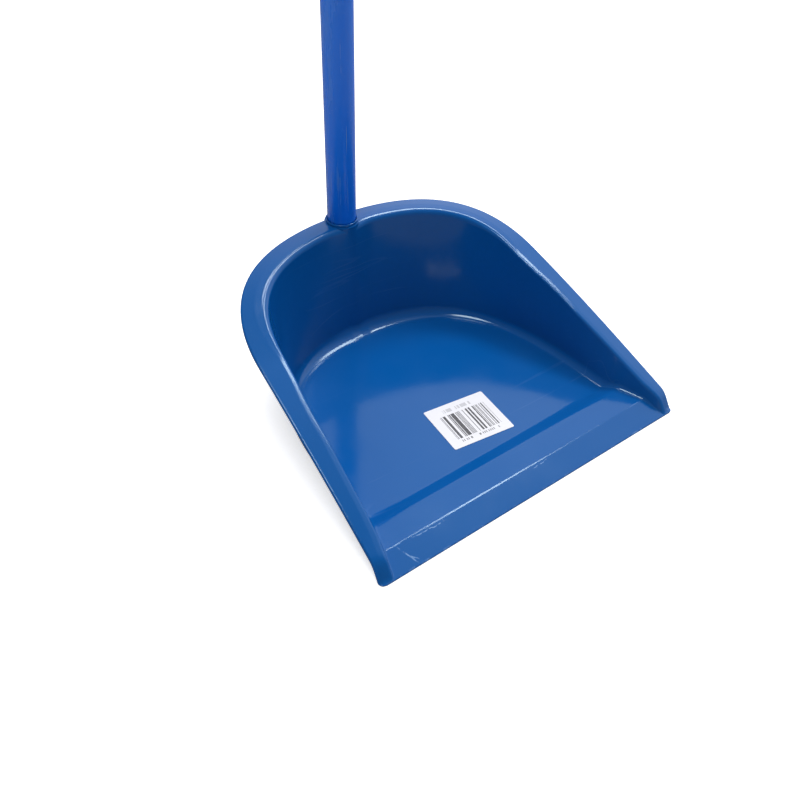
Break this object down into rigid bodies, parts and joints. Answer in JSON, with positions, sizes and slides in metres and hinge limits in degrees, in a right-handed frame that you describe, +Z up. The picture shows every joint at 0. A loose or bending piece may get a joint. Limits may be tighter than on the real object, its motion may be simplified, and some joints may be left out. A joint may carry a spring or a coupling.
{
  "type": "long-handled dustpan",
  "caption": "Long-handled dustpan: deep D-shaped moulded pan with a rolled rim, a front lip and a rear socket that takes a round upright handle with a hanging eye.",
  "frame": {"origin": "middle of the object's bounding box, on the ground plane that the pan's underside rests on", "axes": "+Z up along the handle, +X to the right of someone facing the pan's open front, +Y from the lip towards the back wall and the handle"},
  "size_m": [0.281, 0.2552, 0.8013],
  "materials": {
    "pan_plastic": "glossy moulded polypropylene, deep blue",
    "label_paper": "coated paper sticker with dark printed bars",
    "tube_steel": "thin rolled steel tube, cut ends",
    "handle_film": "thin blue plastic film shrunk on the tube, satin with faint lengthwise streaks",
    "plug_plastic": "black moulded plastic plug",
    "cap_plastic": "glossy moulded plastic, deep blue"
  },
  "bodies": {
    "pan_body": {"pan": "pan_plastic", "print_label": "label_paper"},
    "handle": {"handle_tube": "tube_steel", "handle_film": "handle_film", "tube_plug": "plug_plastic", "hanging_cap": "cap_plastic"}
  },
  "joints": [
    {"name": "handle_pull", "type": "slide", "parent": "pan_body", "child": "handle", "axis": [0, 0, 1], "range_m": [0, 0.085]}
  ]
}
